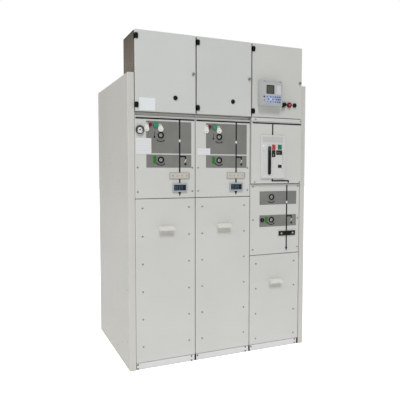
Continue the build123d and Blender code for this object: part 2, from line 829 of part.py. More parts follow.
# Diagram lines: raised strips from the busbar line down each bay, through the gap of the switch
# symbol and past the earth branch, to the cable arrow
busbar_drop = 9
line_inset = 7
line_clearance = 2
symbol_gap = 26
symbol_drop = 33
lower_symbol_drop = 40
branch_rise = 23
earth_line_drop = 18
arrow_length = 28
arrow_width = 19
breaker_arrow_drop = 466
plate_line_drop = 18
busbar_z = mechanism_cover_top - busbar_drop
busbar_inset = line_inset + line_width / 2
plate_middle = plate_left + plate_width / 2
plate_turn_z = plate_bottom - plate_line_drop
runs = [(bay_left, busbar_z, centres, symbol_drop, strip_z + strip_width / 2)
        for bay_left, centres in zip(bay_lefts[:-1], seats)]
runs.append((breaker_left, lower_cover_top - line_inset, seats[-1], lower_symbol_drop,
             breaker_strip_z + breaker_strip_width / 2))
arrows = [(bay_left + main_line_x, display_bottom - line_clearance) for bay_left in bay_lefts[:-1]]
arrows.append((breaker_left + main_line_x, lower_cover_top - breaker_arrow_drop))
with BuildPart() as diagram_lines:
    with BuildSketch(front_plane(front)):
        for bay_left, line_top, centres, gap_drop, strip_edge in runs:
            main_x = bay_left + main_line_x
            earth_x = bay_left + earth_line_x
            gap_z = centres[0][1] - gap_drop
            branch_z = centres[1][1] + branch_rise
            upright_line(main_x, gap_z + symbol_gap / 2, line_top)
            upright_line(main_x, strip_edge + line_clearance, gap_z - symbol_gap / 2)
            level_line(main_x, earth_x, branch_z)
            upright_line(earth_x, branch_z - earth_line_drop, branch_z)
        for bay_left in bay_lefts[:-1]:
            level_line(bay_left + busbar_inset, bay_left + bay_width - busbar_inset, busbar_z)
            upright_line(bay_left + main_line_x, display_top + line_clearance,
                         strip_z - strip_width / 2 - line_clearance)
        upright_line(breaker_left + main_line_x, lower_cover_top - breaker_arrow_drop,
                     breaker_strip_z - breaker_strip_width / 2 - line_clearance)
        for arrow_x, arrow_top in arrows:
            Polygon((arrow_x - arrow_width / 2, arrow_top), (arrow_x, arrow_top - arrow_length),
                    (arrow_x + arrow_width / 2, arrow_top), align=None)
    extrude(amount=line_thickness)
    with BuildSketch(front_plane(door_face)):
        level_line(breaker_left + busbar_inset, breaker_left + bay_width - busbar_inset, busbar_z)
        upright_line(plate_middle, plate_top + line_clearance, busbar_z)
        upright_line(plate_middle, plate_turn_z, plate_bottom - line_clearance)
        level_line(plate_middle, breaker_left + main_line_x, plate_turn_z)
        upright_line(breaker_left + main_line_x, lower_cover_top + cover_gap + cover_bend,
                     plate_turn_z)
    extrude(amount=line_thickness)
save(diagram_lines.part, "diagram_lines")

# Dark fields behind the diagram, given by bottom and top drops, cut out round lines and seats
field_drops = [(232, 25), (325, 241)]
lower_field_drops = [(149, 52), (309, 225)]
fields = [(bay_left, mechanism_cover_top, drops) for bay_left in bay_lefts[:-1]
          for drops in field_drops]
fields += [(breaker_left, lower_cover_top, drops) for drops in lower_field_drops]
with BuildPart() as diagram_fields:
    with BuildSketch(front_plane(front)):
        for bay_left, cover_top, (bottom_drop, top_drop) in fields:
            rectangle(bay_left + field_left, bay_left + field_right,
                      cover_top - bottom_drop, cover_top - top_drop)
        with Locations(*all_seats):
            RegularPolygon(collar_outer + seat_play, seat_sides, major_radius=False,
                           mode=Mode.SUBTRACT)
    extrude(amount=field_thickness)
    add(diagram_lines.part, mode=Mode.SUBTRACT)
save(diagram_fields.part, "diagram_fields")
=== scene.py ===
# Gas-insulated switchgear of three bays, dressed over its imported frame. Meshes are drawn in
# millimetres, x from the middle of the row, y to the rear and z up, and scaled to metres.
from math import acos, atan2, cos, hypot, pi, radians, sin

import bmesh
import bpy
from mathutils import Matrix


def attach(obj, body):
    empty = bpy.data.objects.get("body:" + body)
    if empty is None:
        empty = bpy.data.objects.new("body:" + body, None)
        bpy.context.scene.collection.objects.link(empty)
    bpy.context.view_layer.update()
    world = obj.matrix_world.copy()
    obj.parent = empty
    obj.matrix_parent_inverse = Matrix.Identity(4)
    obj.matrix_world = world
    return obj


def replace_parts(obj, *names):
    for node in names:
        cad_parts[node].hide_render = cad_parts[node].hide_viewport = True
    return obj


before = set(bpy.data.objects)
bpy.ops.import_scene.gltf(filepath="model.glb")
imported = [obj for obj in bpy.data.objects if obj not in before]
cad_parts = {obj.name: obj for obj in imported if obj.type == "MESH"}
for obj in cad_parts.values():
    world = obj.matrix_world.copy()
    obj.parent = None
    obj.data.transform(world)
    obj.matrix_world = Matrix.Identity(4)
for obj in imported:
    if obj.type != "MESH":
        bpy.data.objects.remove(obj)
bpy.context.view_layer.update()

# Studio: the row stands on a plain white floor, in soft light from all round, with a high broad
# lamp before its front and a weaker one off its left end. The camera stands at the left, at
# chest height.
camera_data = bpy.data.cameras.new("studio_camera")
camera_data.lens = 43.096
camera_data.sensor_width = 36
camera = bpy.data.objects.new("studio_camera", camera_data)
camera.location = (-1.45685, -3.42984, 1.30752)
camera.rotation_euler = (1.509464, 0, -0.406548)
bpy.context.scene.collection.objects.link(camera)
bpy.context.scene.camera = camera
bpy.context.scene.view_settings.view_transform = "Standard"

world = bpy.data.worlds.new("studio_air")
world.use_nodes = True
air = world.node_tree.nodes
seen_air = air.new("ShaderNodeBackground")
seen_air.inputs["Color"].default_value = (1, 1, 1, 1)
seen_air.inputs["Strength"].default_value = 1.0
air["Background"].inputs["Color"].default_value = (1, 1, 1, 1)
air["Background"].inputs["Strength"].default_value = 0.31
air_choice = air.new("ShaderNodeMixShader")
air_path = air.new("ShaderNodeLightPath")
air_links = world.node_tree.links
air_links.new(air_path.outputs["Is Camera Ray"], air_choice.inputs["Fac"])
air_links.new(air["Background"].outputs["Background"], air_choice.inputs[1])
air_links.new(seen_air.outputs["Background"], air_choice.inputs[2])
air_links.new(air_choice.outputs["Shader"], air["World Output"].inputs["Surface"])
bpy.context.scene.world = world

high_lamp = bpy.data.lights.new("high_lamp", "SUN")
high_lamp.angle = radians(18)
high_lamp.energy = 1.6
left_lamp = bpy.data.lights.new("left_lamp", "AREA")
left_lamp.size = 3
left_lamp.energy = 80
for lamp_data, place, turn in ((high_lamp, (-1, -5, 7), (0.66, 0, -0.2)),
                               (left_lamp, (-5.2, -1.8, 4.2), (1.0, 0, -1.19))):
    lamp = bpy.data.objects.new(lamp_data.name, lamp_data)
    lamp.location = place
    lamp.rotation_euler = turn
    bpy.context.scene.collection.objects.link(lamp)


def shade(red, green, blue):
    """A colour given as it looks on a screen, 0 to 255, as the light it sends back."""
    return tuple((c / 12.92 if c <= 0.04045 else ((c + 0.055) / 1.055) ** 2.4)
                 for c in (red / 255, green / 255, blue / 255)) + (1.0,)


def new_finish(name):
    """A new finish: the material, its shader, and the piece's own places."""
    finish = bpy.data.materials.new(name)
    finish.use_nodes = True
    nodes = finish.node_tree.nodes
    return finish, nodes["Principled BSDF"], nodes.new("ShaderNodeTexCoord").outputs["Object"]


def fed(kind, source, socket, **settings):
    """A new node beside the one that a value comes from, fed with it, and set as told."""
    node = source.id_data.nodes.new("ShaderNode" + kind)
    source.id_data.links.new(source, node.inputs[socket])
    for name, setting in settings.items():
        node.inputs[name.replace("_", " ")].default_value = setting
    return node


def grain(place, scale, detail=2.0, stretch=None):
    """A noise of that many waves to the metre, pulled out along one way where stretch says so."""
    if stretch:
        place = fed("Mapping", place, "Vector", Scale=stretch).outputs["Vector"]
    return fed("TexNoise", place, "Vector", Scale=scale, Detail=detail).outputs["Fac"]


def spread(value, low, high, socket, start=0.3, end=0.7):
    """Sends a value between start and end to a socket, as a number between low and high."""
    scale = fed("MapRange", value, "Value", From_Min=start, From_Max=end, To_Min=low, To_Max=high)
    value.id_data.links.new(scale.outputs["Result"], socket)


def tint(value, dark, light, socket=None, start=0.3, end=0.7):
    """Colours a socket from dark to light as a value rises from start to end."""
    ramp = fed("ValToRGB", value, "Fac")
    ramp.color_ramp.elements[0].position = start
    ramp.color_ramp.elements[0].color = dark
    ramp.color_ramp.elements[1].position = end
    ramp.color_ramp.elements[1].color = light
    if socket:
        value.id_data.links.new(ramp.outputs["Color"], socket)
    return ramp.outputs["Color"]


def relief(value, height, shader, strength=1.0):
    """Raises the surface by up to a height in metres where the value is high."""
    bump = fed("Bump", value, "Height", Strength=strength, Distance=height)
    value.id_data.links.new(bump.outputs["Normal"], shader.inputs["Normal"])


floor_half = 30
floor_mesh = bpy.data.meshes.new("studio_floor")
floor_mesh.from_pydata([(-floor_half, -floor_half, 0), (floor_half, -floor_half, 0),
                        (floor_half, floor_half, 0), (-floor_half, floor_half, 0)], [],
                       [(0, 1, 2, 3)])
floor = bpy.data.objects.new("studio_floor", floor_mesh)
bpy.context.scene.collection.objects.link(floor)
floor_finish, shader, place = new_finish("studio_floor")
tint(grain(place, 0.7), shade(243, 243, 243), shade(246, 246, 246), shader.inputs["Base Color"])
shader.inputs["Roughness"].default_value = 0.85
shader.inputs["Specular IOR Level"].default_value = 0.1
shader.inputs["Emission Color"].default_value = (1, 1, 1, 1)
seen = floor_finish.node_tree.nodes.new("ShaderNodeLightPath")
spread(seen.outputs["Is Camera Ray"], 0.22, 0.7, shader.inputs["Emission Strength"], 0.0, 1.0)
floor_mesh.materials.append(floor_finish)


# End panels: deep trays of folded sheet steel, powder coated light grey, hung on the ends of the
# row. The small holes of their fixings are painted on as dark dots, painted shade inside the holes.
front = -455


def overlay(under, colour):
    """Lays a colour over another. Gives back the socket for its share, and the colour made."""
    mix = under.id_data.nodes.new("ShaderNodeMix")
    mix.data_type = "RGBA"
    mix.inputs[7].default_value = colour
    under.id_data.links.new(under, mix.inputs[6])
    return mix.inputs[0], mix.outputs[2]


def powder_coat(name, colour, holes=(), hole_radius=0.0048):
    """Powder coat on sheet steel: fine orange peel, slow mottling, and dust towards the floor."""
    mottling = 0.955
    dust_share, dust_height = 0.22, 0.05
    finish, shader, place = new_finish(name)
    links = finish.node_tree.links
    light = shade(*colour)
    dark = tuple(c * mottling for c in light[:3]) + (1.0,)
    apart = fed("SeparateXYZ", place, "Vector")
    dust, coat = overlay(tint(grain(place, 2.6, 5), dark, light),
                         shade(colour[0] - 24, colour[1] - 27, colour[2] - 33))
    spread(apart.outputs["Z"], dust_share, 0.0, dust, 0.0, dust_height)
    if holes:
        level = fed("CombineXYZ", apart.outputs["Y"], "Y")
        links.new(apart.outputs["Z"], level.inputs["Z"])
        nearest = None
        for from_front, height in holes:
            away = fed("VectorMath", level.outputs["Vector"], 0)
            away.operation = "DISTANCE"
            away.inputs[1].default_value = (0, (front + from_front) / 1000, height / 1000)
            if nearest:
                least = fed("Math", nearest, 0)
                least.operation = "MINIMUM"
                links.new(away.outputs["Value"], least.inputs[1])
                nearest = least.outputs["Value"]
            else:
                nearest = away.outputs["Value"]
        # Painted shade: each listed hole is a dark dot in the colour, standing in for the shade
        # inside it.
        hole, coat = overlay(coat, shade(40, 39, 36))
        spread(nearest, 1.0, 0.0, hole, hole_radius * 0.75, hole_radius)
    links.new(coat, shader.inputs["Base Color"])
    spread(grain(place, 45, 3), 0.38, 0.52, shader.inputs["Roughness"])
    shader.inputs["Specular IOR Level"].default_value = 0.4
    relief(grain(place, 750, 2), 0.00006, shader, 0.55)
    return finish


def dress(node_name, finish):
    """Gives a node of the frame its finish."""
    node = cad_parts[node_name]
    node.data.materials.clear()
    node.data.materials.append(finish)
    return node


end_panel_holes = [(280, 1235), (504, 1400), (504, 1361), (851, 1221), (50, 529), (202, 131),
                   (325, 69), (661, 125), (56, 179)]
end_panel_paint = powder_coat("end_panel_paint", (201, 200, 194), end_panel_holes)
for node_name in ("left_end_panel", "right_end_panel"):
    dress(node_name, end_panel_paint)

# Bay housings: the closed gas tanks with their compartments, stainless sheet with the marks of
# its rolling running level. They show only in the seams between the covers.
def metal(name, texture, dark, light, roughness, metallic, height, strength=1.0):
    """Bare metal, whose tone, shine and relief all follow one texture."""
    finish, shader, place = new_finish(name)
    marks = grain(place, *texture)
    tint(marks, shade(*dark), shade(*light), shader.inputs["Base Color"])
    spread(marks, *roughness, shader.inputs["Roughness"])
    shader.inputs["Metallic"].default_value = metallic
    relief(marks, height, shader, strength)
    return finish


along_the_sheet = (0.06, 0.06, 9)
tank_steel = metal("tank_steel", (60, 3, along_the_sheet), (92, 91, 88), (118, 117, 113),
                   (0.34, 0.5), 0.7, 0.00004, 0.5)
for number in (1, 2, 3):
    dress(f"bay_housing_{number}", tank_steel)

# Base frame: a galvanised channel frame under the row, with a painted strip across the front of
# each bay. Small dark screws hold the strips near their ends.
def ring(x, z, radius, y, points=36, lobes=0, lobe_height=0.0):
    """A ring of points in a plane parallel to the front, round or with lobes."""
    turns = [2 * pi * i / points for i in range(points)]
    return [(x + (radius + lobe_height * cos(lobes * turn)) * cos(turn), y,
             z + (radius + lobe_height * cos(lobes * turn)) * sin(turn)) for turn in turns]


def skin(shape, rings, hoop=False):
    """Joins rings of equally many points into one closed skin, capped at both ends, or into a
    hoop whose last ring meets its first. Gives back the last cap."""
    rows = [[shape.verts.new(point) for point in points] for points in rings]
    pairs = list(zip(rows, rows[1:]))
    if hoop:
        pairs.append((rows[-1], rows[0]))
    for row, following in pairs:
        for i, vertex in enumerate(row):
            j = (i + 1) % len(row)
            shape.faces.new((vertex, row[j], following[j], following[i]))
    if hoop:
        return None
    shape.faces.new(rows[0])
    return shape.faces.new(rows[-1])


def finished_piece(name, shape, finish, body="switchgear"):
    """Puts a drawn shape into the scene in its finish, on the body that carries it."""
    bmesh.ops.scale(shape, vec=(0.001, 0.001, 0.001), verts=shape.verts)
    bmesh.ops.recalc_face_normals(shape, faces=shape.faces)
    mesh = bpy.data.meshes.new(name)
    shape.to_mesh(mesh)
    shape.free()
    mesh.shade_smooth()
    mesh.set_sharp_from_angle(angle=radians(38))
    mesh.materials.append(finish)
    piece = bpy.data.objects.new(name, mesh)
    bpy.context.scene.collection.objects.link(piece)
    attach(piece, body)
    return piece


screw_zinc, shader, place = new_finish("screw_zinc")
tint(grain(place, 900, 3), shade(128, 127, 120), shade(168, 167, 160), shader.inputs["Base Color"])
spread(grain(place, 1600), 0.3, 0.5, shader.inputs["Roughness"])
shader.inputs["Metallic"].default_value = 0.85
relief(grain(place, 2400), 0.00003, shader)


def front_screws(name, places, face, radius=4.6, finish=screw_zinc):
    """Pan-head screws with six-lobed sockets, on a face that looks to the front."""
    washer, lobe_height = radius + 1.6, radius * 0.07
    shape = bmesh.new()
    for x, z in places:
        skin(shape, [ring(x, z, washer, face, 24), ring(x, z, washer, face - 0.5, 24),
                     ring(x, z, radius, face - 0.6, 24), ring(x, z, radius * 0.96, face - 1.5, 24),
                     ring(x, z, radius * 0.72, face - 2.3, 24),
                     ring(x, z, radius * 0.42, face - 2.5, 24, 6, lobe_height),
                     ring(x, z, radius * 0.4, face - 1.2, 24, 6, lobe_height)])
    return finished_piece(name, shape, finish)


zinc_sheet, shader, place = new_finish("zinc_sheet")
spangle = fed("TexVoronoi", place, "Vector", Scale=130).outputs["Distance"]
tint(spangle, shade(104, 101, 93), shade(128, 124, 114), shader.inputs["Base Color"], 0.1, 0.9)
spread(spangle, 0.4, 0.6, shader.inputs["Roughness"], 0, 0.8)
shader.inputs["Metallic"].default_value = 0.5
relief(grain(place, 400), 0.00004, shader)

plinth_paint = powder_coat("plinth_paint", (216, 215, 216))
strip_back = -0.4352
base_frame = dress("base_frame", zinc_sheet)
base_frame.data.materials.append(plinth_paint)
for face in base_frame.data.polygons:
    face.material_index = 1 if face.center.y < strip_back else 0
screw_dark, shader, place = new_finish("screw_dark")
tint(grain(place, 900, 3), shade(46, 46, 44), shade(76, 75, 72), shader.inputs["Base Color"])
spread(grain(place, 1600), 0.4, 0.6, shader.inputs["Roughness"])
front_screws("plinth_screws", [
    (-618, 36), (-618, 10), (-239, 38), (-239, 9), (-195, 36),
    (179, 40), (179, 12), (225, 34), (599, 39), (599, 12)], front, 4, screw_dark)

# Roof covers: shallow folded lids over the gas tanks behind the control boxes, of plain powder
# coated sheet, screwed down along both sides.
bay_lefts = (-630, -210, 210)
roof_level = 1924
screw_sides = (24, 396)
cover_paint = powder_coat("cover_paint", (203, 204, 200))
dress("roof_covers", cover_paint)


def turned_screws(name, places, level, to_roof):
    """The same pan-head screws on the roof or on the rear of the row."""
    profile = ((6.2, 0), (6.2, 0.5), (4.6, 0.6), (4.4, 1.5), (3.3, 2.3), (1.9, 2.4), (1.8, 1.2))
    shape = bmesh.new()
    for x, along in places:
        rings = [ring(x, along, radius, level + lift, 24) for radius, lift in profile]
        if to_roof:
            rings = [[(px, pz, py) for px, py, pz in points] for points in rings]
        skin(shape, rings)
    return finished_piece(name, shape, screw_zinc)


turned_screws("roof_screws", [(left + x, y) for left in bay_lefts for x in screw_sides
                              for y in (-150, 120, 400)], roof_level, True)

# Rear panels: flat sheets with folded edges over the back of each bay, powder coated and held by
# screws down both sides.
rear_level = 451
dress("rear_panels", cover_paint)
turned_screws("rear_screws", [(left + x, z) for left in bay_lefts for x in screw_sides
                              for z in (110, 530, 960, 1390, 1830)], rear_level, False)

# Control boxes: open-fronted boxes of galvanised sheet in a dark brown-grey, partly the sheet's own
# tone and partly painted reflection of darker surroundings, made darker towards the top as painted
# shade, with a seam near the rear edge and a black gasket under the top edge.
box_foot, box_top = 1.9, 2.2
box_sheet, shader, place = new_finish("control_box_sheet")
height = fed("SeparateXYZ", place, "Vector").outputs["Z"]
share_up = fed("MapRange", height, "Value", From_Min=box_foot, From_Max=box_top).outputs["Result"]
# Painted shade: the sheet's colour runs darker towards the top of the boxes.
shade_towards_top = tint(share_up, shade(136, 129, 115), shade(93, 84, 73), None, 0.0, 1.0)
clouds, clouded = overlay(shade_towards_top, shade(98, 89, 76))
spread(grain(place, 26, 4), 0.0, 0.45, clouds)
box_sheet.node_tree.links.new(clouded, shader.inputs["Base Color"])
spread(grain(place, 70, 3), 0.5, 0.66, shader.inputs["Roughness"])
shader.inputs["Specular IOR Level"].default_value = 0.25
relief(grain(place, 300, 3), 0.00005, shader)
for number in (1, 2, 3):
    dress(f"control_box_{number}", box_sheet)


def outline(left, right, bottom, top, corner=0.0, points=5):
    """The corners of an upright rectangle, rounded, anticlockwise seen from the front."""
    corner = max(corner, 0.01)
    middles = ((right - corner, top - corner, 0), (left + corner, top - corner, 90),
               (left + corner, bottom + corner, 180), (right - corner, bottom + corner, 270))
    return [(x + corner * cos(radians(start + 90 * i / points)),
             z + corner * sin(radians(start + 90 * i / points)))
            for x, z, start in middles for i in range(points + 1)]


def inset(points, distance):
    """The outline drawn in by a distance along its corners' bisectors."""
    drawn = []
    for i, (x, z) in enumerate(points):
        ax, az = points[i - 1]
        bx, bz = points[(i + 1) % len(points)]
        before, after = hypot(x - ax, z - az) or 1, hypot(bx - x, bz - z) or 1
        nx = (z - az) / before + (bz - z) / after
        nz = (ax - x) / before + (x - bx) / after
        length = hypot(nx, nz) or 1
        reach = distance / max(0.35, length / 2)
        drawn.append((x - nx / length * reach, z - nz / length * reach))
    return drawn


def level_ring(points, y):
    """An outline's points on a plane parallel to the front."""
    return [(x, y, z) for x, z in points]


def plate(shape, points, back, face, edge=0.4):
    """A flat piece of that outline between two depths, its front edge broken."""
    skin(shape, [level_ring(points, back), level_ring(points, face + edge),
                 level_ring(inset(points, edge), face)])


def moulded(name, colour, gloss=0.35, texture=1500, depth=0.00003, variation=0.9, shine=0.5):
    """Moulded plastic: an even colour that clouds slightly, over a fine spark-eroded grain."""
    finish, shader, place = new_finish(name)
    shader.inputs["Specular IOR Level"].default_value = shine
    light = shade(*colour)
    dark = tuple(c * variation for c in light[:3]) + (1.0,)
    tint(grain(place, 140, 4), dark, light, shader.inputs["Base Color"])
    spread(grain(place, 320, 2), gloss - 0.05, gloss + 0.09, shader.inputs["Roughness"])
    relief(grain(place, texture, 2), depth, shader)
    return finish


# Black rubber for the box gaskets; it also colours the strips of painted shade in the bay seams.
black_rubber_and_seam_shade = moulded("black_rubber_and_seam_shade", (24, 23, 22), 0.6, 900, 0.00005, 0.7)
gaskets = bmesh.new()
seams = bmesh.new()
for side in (-629.5, 629.5):
    outward = -0.4 if side < 0 else 0.4
    for y, far_y, bottom, top, shape in ((-440, -200, 2183.5, 2189.5, gaskets),
                                         (-199.5, -204, 1928, 2183, gaskets),
                                         (-204, -219, 1928, 2183, seams)):
        skin(shape, [[(x, y, bottom), (x, far_y, bottom), (x, far_y, top), (x, y, top)]
                     for x in (side, side + outward)])
finished_piece("box_gaskets", gaskets, black_rubber_and_seam_shade)
box_seam_sheet = moulded("box_seam_sheet", (118, 112, 101), 0.5, 400, 0.00005)
finished_piece("box_seams", seams, box_seam_sheet)

# Control doors: folded sheet doors over the control boxes, powder coated as the covers. Each door's
# paint is a step darker than the one on its left, as painted shade. The first carries a bare white
# sticker beside its lower hinge.
door_face = -473
door_tones_with_painted_shade = ((203, 206, 203), (201, 203, 200), (200, 201, 197))
for number, tone in enumerate(door_tones_with_painted_shade, start=1):
    dress(f"control_door_{number}", powder_coat(f"door_paint_{number}", tone))
sticker_vinyl = moulded("sticker_vinyl", (224, 230, 231), 0.3, 500, 0.00002, 0.97)
sticker = bmesh.new()
plate(sticker, outline(-602, -496, 1691, 1770, 3), door_face, door_face - 0.35, 0.1)
finished_piece("door_sticker", sticker, sticker_vinyl, "left_door")

# Hinges: black moulded corner hinges, two to a door. The brackets stand on the box, and the
# leaves turn with the door.
def soften(piece, width, segments=3):
    """Rounds the edges of a moulded piece of the frame, by a width in metres."""
    soft_edge = piece.modifiers.new("moulded_edges", "BEVEL")
    soft_edge.width = width
    soft_edge.segments = segments
    soft_edge.limit_method = "ANGLE"


hinge_black = moulded("hinge_black", (10, 10, 10), 0.55, 1300, 0.00005, 0.75, 0.2)
for node_name in ("hinge_brackets", "hinge_leaves_1", "hinge_leaves_2", "hinge_leaves_3"):
    soften(dress(node_name, hinge_black), 0.0006, 2)

# Door locks and plugs: quarter-turn locks of cast zinc with a wing, and black blanking plugs
# pressed into the button holes of the switch bays.
def turned(shape, x, z, face, profile, points=36, hoop=False):
    """A turned form on a face that looks to the front. Its profile gives the radius of each ring
    and how far the ring stands before the face."""
    skin(shape, [ring(x, z, radius, face - lift, points) for radius, lift in profile], hoop)


door_bodies = ("left_door", "middle_door", "right_door")
button_z = 1779
plug_top, wing_back = 1.85, (door_face - 5.05) / 1000
lock_zinc = metal("lock_zinc", (700, 4), (176, 175, 170), (200, 199, 194), (0.34, 0.5), 0.6,
                  0.00005)
wing_zinc = moulded("wing_zinc", (52, 51, 47), 0.45, 700, 0.00005, 0.8, 0.3)
plug_black = moulded("plug_black", (9, 9, 10), 0.45, 1600, 0.00002, 0.8, 0.25)
for number, (left, body) in enumerate(zip(bay_lefts, door_bodies), start=1):
    fittings = dress(f"door_fittings_{number}", lock_zinc)
    fittings.data.materials.append(plug_black)
    fittings.data.materials.append(wing_zinc)
    for face in fittings.data.polygons:
        if face.center.z < plug_top:
            face.material_index = 1
        elif face.center.y < wing_back:
            face.material_index = 2
    rosette = bmesh.new()
    turned(rosette, left + 398, 1941, door_face,
           ((11.4, 0), (11.4, 4.4), (10.6, 5.3), (9.8, 5.3), (9.4, 4.8)), hoop=True)
    finished_piece(f"lock_rosette_{number}", rosette, lock_zinc, body)
    if number < 3:
        plug = bmesh.new()
        turned(plug, left + 272, button_z, door_face,
               ((14.7, 0), (14.7, 2.2), (14, 3.6), (12.6, 4.4), (8, 4.9), (2, 5.1)))
        finished_piece(f"door_plug_{number}", plug, plug_black, body)

# Protection relay: a moulded grey front on the right door, with a screen behind glass, a paper
# lamp strip, and a membrane keypad in pale and slate blue. Its case passes through the door.
relay_face = -515
relay_x = 256


def stepped(shape, points, face, profile, hoop=False):
    """A form of that outline on a face that looks to the front. Its profile gives how far each
    ring is drawn in, and how far it stands before the face. Gives back the front."""
    return skin(shape, [level_ring(inset(points, drawn_in), face - lift)
                        for drawn_in, lift in profile], hoop)


def sink(shape, cap, pockets, floor_y):
    """Sinks pockets of those outlines into a flat cap that looks to the front."""
    face_y = cap.verts[0].co.y
    edges = list(cap.edges)
    shape.faces.remove(cap)
    for points in pockets:
        rim, bottom = [[shape.verts.new((x, y, z)) for x, z in points] for y in (face_y, floor_y)]
        for i in range(len(points)):
            shape.faces.new((rim[i - 1], rim[i], bottom[i], bottom[i - 1]))
            edges.append(shape.edges.get((rim[i - 1], rim[i])))
        shape.faces.new(bottom)
    bmesh.ops.triangle_fill(shape, use_beauty=True, edges=edges)


relay_grey = moulded("relay_grey", (176, 179, 177), 0.42, 1200, 0.00004, 0.96)
relay_body = bmesh.new()
relay_edge = outline(relay_x, relay_x + 178, 1759, 1936, 6)
relay_case = outline(relay_x + 12.3, relay_x + 165.7, 1771.3, 1923.7, 1)
relay_pockets = [outline(relay_x + left, relay_x + right, 1843, 1904, 2)
                 for left, right in ((46, 110), (120, 164))]
relay_cap = stepped(relay_body, relay_edge, relay_face,
                    ((0, relay_face - door_face), (0, -3), (1, -1), (3, 0)))
sink(relay_body, relay_cap, relay_pockets, relay_face + 3)
skin(relay_body, [level_ring(relay_case, door_face + 150), level_ring(relay_case, door_face)])
relay = finished_piece("relay_body", relay_body, relay_grey, "right_door")
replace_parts(relay, "relay")

relay_rim = bmesh.new()
rim_outer = outline(relay_x + 3.2, relay_x + 174.8, 1762.2, 1932.8, 5)
stepped(relay_rim, rim_outer, relay_face, ((0, -0.2), (0, 1.2), (4, 1.2), (4.6, -0.1)), hoop=True)
finished_piece("relay_rim", relay_rim, relay_grey, "right_door")

screen_black = moulded("screen_black", (36, 38, 37), 0.2, 200, 0.000002, 0.95)
screen_frame = bmesh.new()
plate(screen_frame, outline(relay_x + 46.3, relay_x + 109.7, 1843.3, 1903.7, 1.5),
      relay_face + 2.8, relay_face + 0.3, 0.5)
finished_piece("relay_screen_frame", screen_frame, screen_black, "right_door")

screen_glass, shader, place = new_finish("screen_glass")
upright = fed("Mapping", place, "Vector", Rotation=(-pi / 2, 0, 0)).outputs["Vector"]
pixels = fed("TexBrick", upright, "Vector", Scale=1.0, Brick_Width=0.0009, Row_Height=0.0009,
             Mortar_Size=0.00007, Color1=shade(78, 82, 70), Color2=shade(84, 88, 76),
             Mortar=shade(68, 72, 60))
pixels.offset = 0
screen_glass.node_tree.links.new(pixels.outputs["Color"], shader.inputs["Base Color"])
spread(grain(place, 90), 0.24, 0.34, shader.inputs["Roughness"])
screen = bmesh.new()
plate(screen, outline(relay_x + 52, relay_x + 101, 1849, 1898, 1),
      relay_face + 0.4, relay_face - 0.1, 0.1)
finished_piece("relay_screen", screen, screen_glass, "right_door")

strip_paper = moulded("strip_paper", (208, 209, 214), 0.5, 700, 0.00001, 0.985)
lamp_strip = bmesh.new()
plate(lamp_strip, outline(relay_x + 120.3, relay_x + 163.7, 1843.3, 1903.7, 1),
      relay_face + 2.9, relay_face + 0.6, 0.2)
finished_piece("relay_lamp_strip", lamp_strip, strip_paper, "right_door")
strip_ink = moulded("strip_ink", (132, 134, 142), 0.5, 700, 0.00001)
lamp_step = 5.9
strip_lines = bmesh.new()
for row in range(10):
    line_z = 1847 + row * lamp_step
    plate(strip_lines, outline(relay_x + 131, relay_x + 160, line_z, line_z + 0.5),
          relay_face + 0.7, relay_face + 0.5, 0.05)
plate(strip_lines, outline(relay_x + 129.6, relay_x + 130.3, 1845, 1902),
      relay_face + 0.7, relay_face + 0.5, 0.05)
finished_piece("relay_strip_lines", strip_lines, strip_ink, "right_door")
lamp_green = moulded("lamp_green", (70, 118, 84), 0.15, 400, 0.00001)
lamps_shape = bmesh.new()
for row in range(9):
    turned(lamps_shape, relay_x + 125, 1850 + row * lamp_step, relay_face,
           ((1.5, -0.7), (1.5, 0.1), (1.0, 0.6), (0.3, 0.8)), 16)
finished_piece("relay_lamps", lamps_shape, lamp_green, "right_door")

keypad_film = moulded("keypad_film", (168, 180, 206), 0.4, 900, 0.00003, 0.96)
keypad_sheet = bmesh.new()
plate(keypad_sheet, outline(relay_x + 40, relay_x + 168, 1778, 1832, 4),
      relay_face, relay_face - 1.2, 0.4)
finished_piece("relay_keypad", keypad_sheet, keypad_film, "right_door")
key_blue = moulded("key_blue", (92, 112, 158), 0.35, 900, 0.00003)
key_slate = moulded("key_slate", (88, 91, 116), 0.35, 900, 0.00003)
key_pale = moulded("key_pale", (196, 214, 240), 0.35, 900, 0.00003)
key_places = {
    key_blue: [(52, 1822, 5), (80, 1822, 6), (100, 1822, 5), (62, 1806, 6), (98, 1805, 6),
               (80, 1788, 6), (100, 1789, 4), (56, 1789, 4)],
    key_slate: [(118, 1822, 6.5), (136, 1822, 6.5), (154, 1822, 7), (127, 1805, 6.5),
                (145, 1805, 7.5), (160, 1805, 5), (118, 1788, 5.5), (136, 1788, 6.5),
                (154, 1788, 7)],
    key_pale: [(80, 1806, 8)]}
for (finish, places), name in zip(key_places.items(), ("blue", "slate", "pale")):
    keys = bmesh.new()
    for x, z, half in places:
        plate(keys, outline(relay_x + x - half, relay_x + x + half, z - half * 0.8, z + half * 0.8,
                            half * 0.4), relay_face - 1.1, relay_face - 2, 0.5)
    finished_piece(f"relay_keys_{name}", keys, finish, "right_door")

port = bmesh.new()
turned(port, relay_x + 28, 1822, relay_face, ((6.2, -0.2), (6.2, 1), (5.4, 1.6), (1.5, 1.7)), 28)
for x in (33, 156):
    plate(port, outline(relay_x + x - 5, relay_x + x + 5, 1926.5, 1929.5, 0.8),
          relay_face, relay_face - 1.4, 0.3)
finished_piece("relay_port", port, plug_black, "right_door")
ready_lamp = moulded("ready_lamp", (150, 66, 54), 0.3, 400, 0.00001)
ready_shape = bmesh.new()
turned(ready_shape, relay_x + 29, 1797, relay_face,
       ((4, -0.2), (4, 0.8), (2.8, 1.5), (0.5, 1.7)), 20)
finished_piece("relay_ready_lamp", ready_shape, ready_lamp, "right_door")

